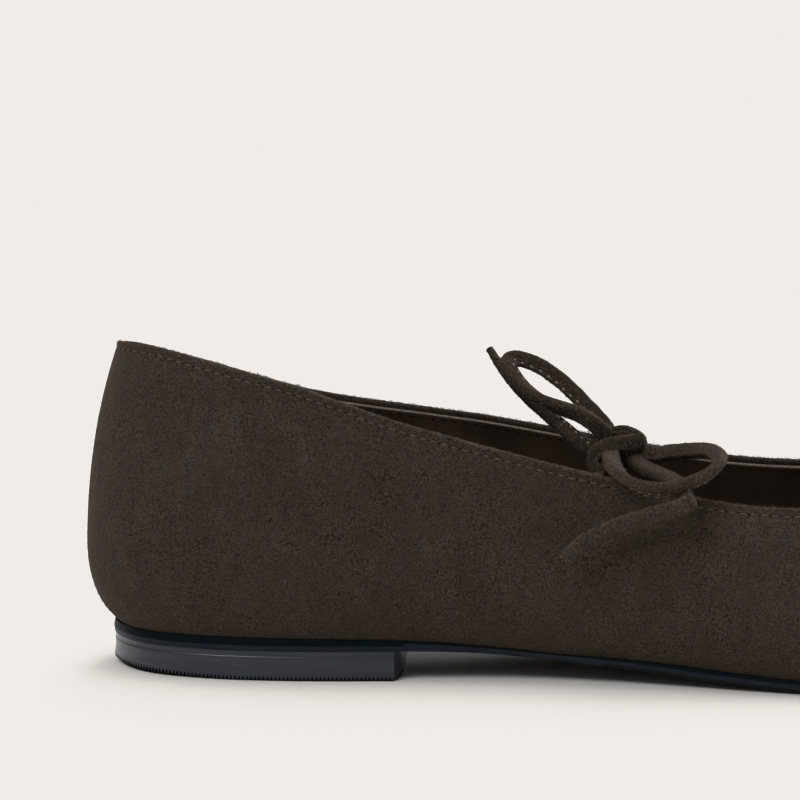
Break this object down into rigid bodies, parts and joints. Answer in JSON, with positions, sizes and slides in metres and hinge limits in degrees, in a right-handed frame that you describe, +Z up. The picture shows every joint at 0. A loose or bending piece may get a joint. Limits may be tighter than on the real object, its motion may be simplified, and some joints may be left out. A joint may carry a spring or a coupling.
{
  "type": "ballet flat",
  "caption": "Low ballet flat for the left foot: hollow lasted suede upper, thin sole, low heel block and a small lace bow at the collar.",
  "frame": {"origin": "on the floor, under the middle of the heel block", "axes": "+X from the heel to the toe, +Y to the outer side of the foot, +Z up"},
  "size_m": [0.25, 0.0822, 0.0669],
  "materials": {
    "suede": "matt brown suede with a short nap",
    "sole_edge": "dark inked sole leather, half gloss on the edge",
    "heel_stack": "dark navy inked heel block, polished",
    "lining": "dark brown smooth lining leather",
    "lace": "brown suede lace, stitched along its edge"
  },
  "bodies": {
    "root": {"upper": "suede", "outsole": "sole_edge", "heel": "heel_stack", "insole": "lining", "tie": "lace", "bow_knot": "lace", "bow_loop_front": "lace", "bow_loop_back": "lace", "bow_end_front": "lace", "bow_end_back": "lace"}
  },
  "joints": []
}
